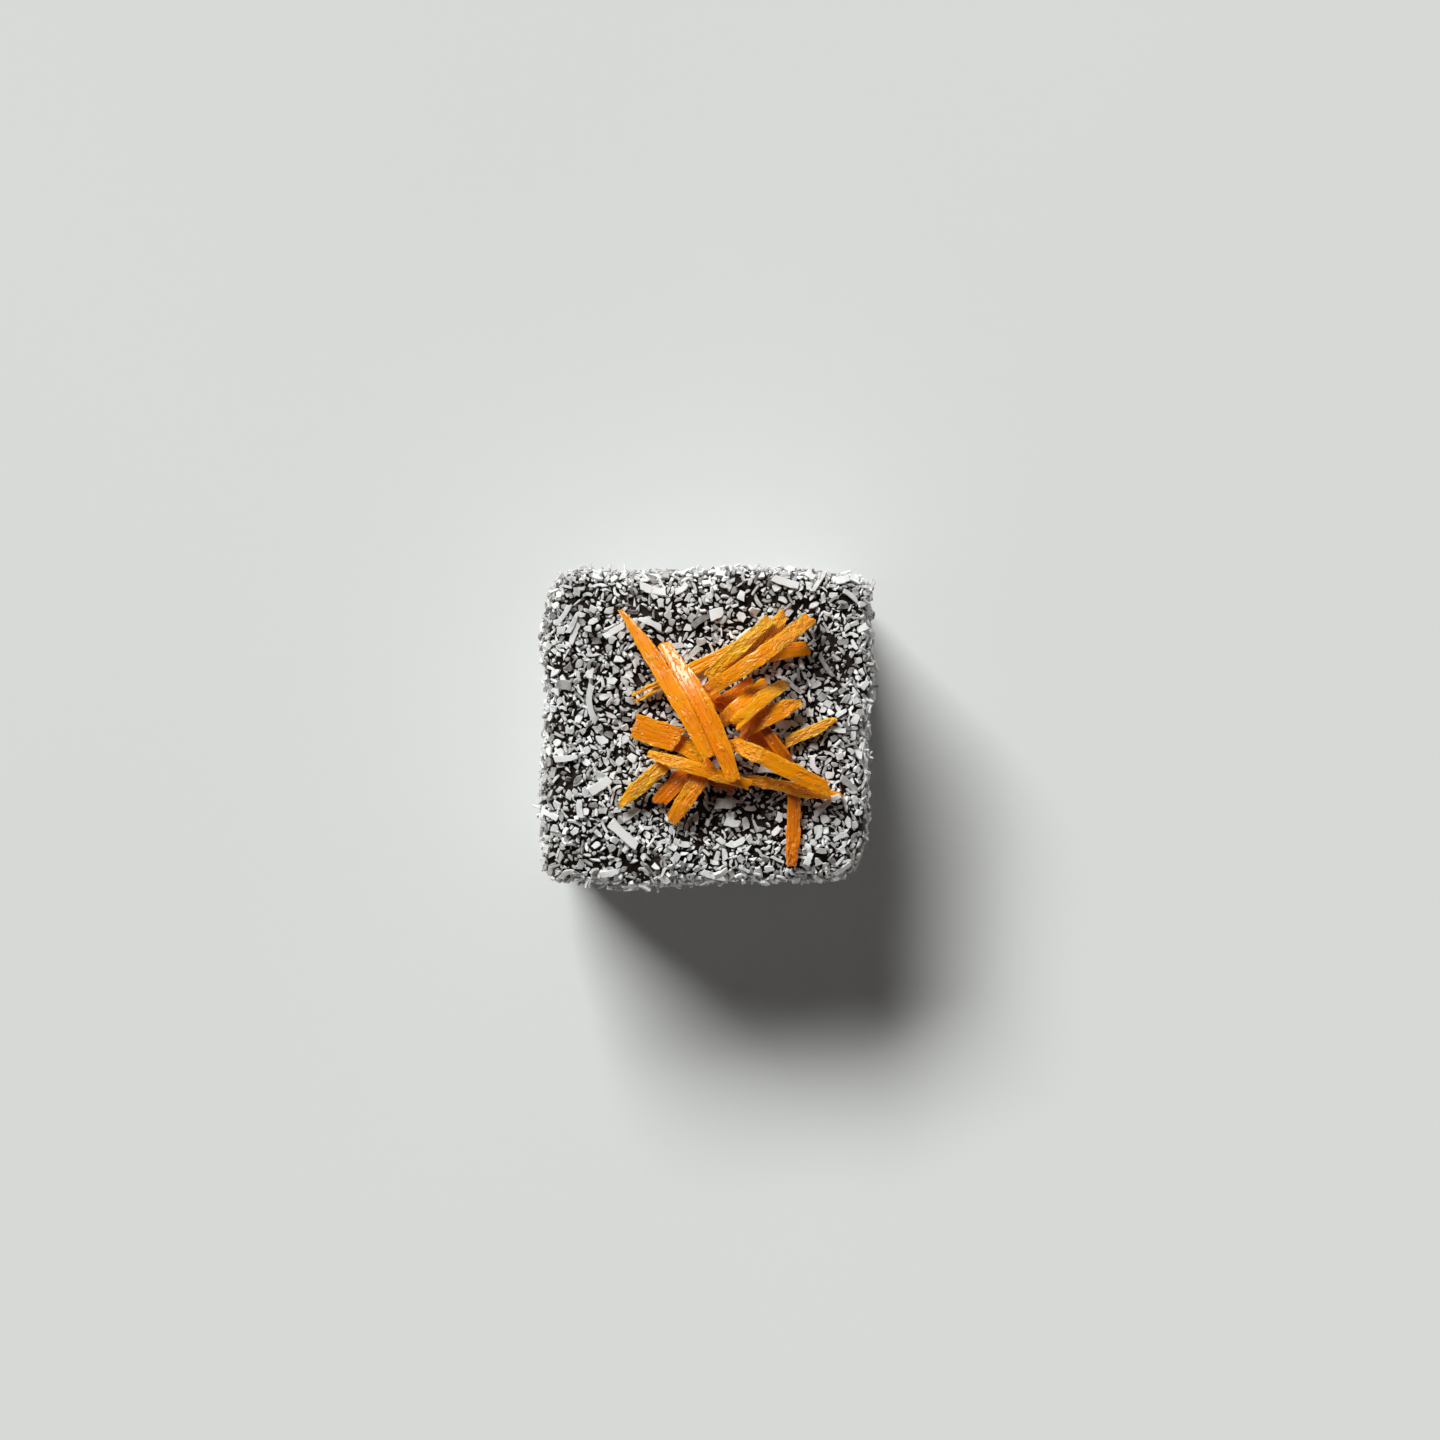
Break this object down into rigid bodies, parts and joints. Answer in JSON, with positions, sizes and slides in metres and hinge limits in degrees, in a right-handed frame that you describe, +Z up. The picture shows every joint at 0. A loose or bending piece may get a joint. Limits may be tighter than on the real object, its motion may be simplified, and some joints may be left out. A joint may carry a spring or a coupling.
{
  "type": "lamington cake",
  "caption": "Square sponge cake coated in dark chocolate icing and desiccated coconut, topped with a loose heap of glossy orange peel strips.",
  "frame": {"origin": "centre of the cake's outline on the flat base that it stands on", "axes": "+Z up, +X to the right along the front, +Y towards the back"},
  "size_m": [0.0594, 0.0564, 0.0501],
  "materials": {
    "coconut_coat": "dry desiccated coconut, pale chips and grains with soft translucent edges",
    "chocolate_icing": "thin set dark chocolate icing, nearly black, with a dull sheen between the coconut",
    "orange_peel": "moist translucent candied orange peel, glossy, with pores and lengthwise grooves"
  },
  "bodies": {
    "root": {"cake": "coconut_coat", "orange_strip_01": "orange_peel", "orange_strip_02": "orange_peel", "orange_strip_03": "orange_peel", "orange_strip_04": "orange_peel", "orange_strip_05": "orange_peel", "orange_strip_06": "orange_peel", "orange_strip_07": "orange_peel", "orange_strip_08": "orange_peel", "orange_strip_09": "orange_peel", "orange_strip_10": "orange_peel", "orange_strip_11": "orange_peel", "orange_strip_12": "orange_peel", "orange_strip_13": "orange_peel", "orange_strip_14": "orange_peel", "orange_strip_15": "orange_peel", "orange_strip_16": "orange_peel", "orange_strip_17": "orange_peel", "orange_strip_18": "orange_peel", "orange_strip_19": "orange_peel", "orange_strip_20": "orange_peel", "orange_strip_21": "orange_peel", "orange_strip_22": "orange_peel", "orange_strip_23": "orange_peel", "orange_strip_24": "orange_peel", "orange_strip_25": "orange_peel", "orange_strip_26": "orange_peel"}
  },
  "joints": []
}
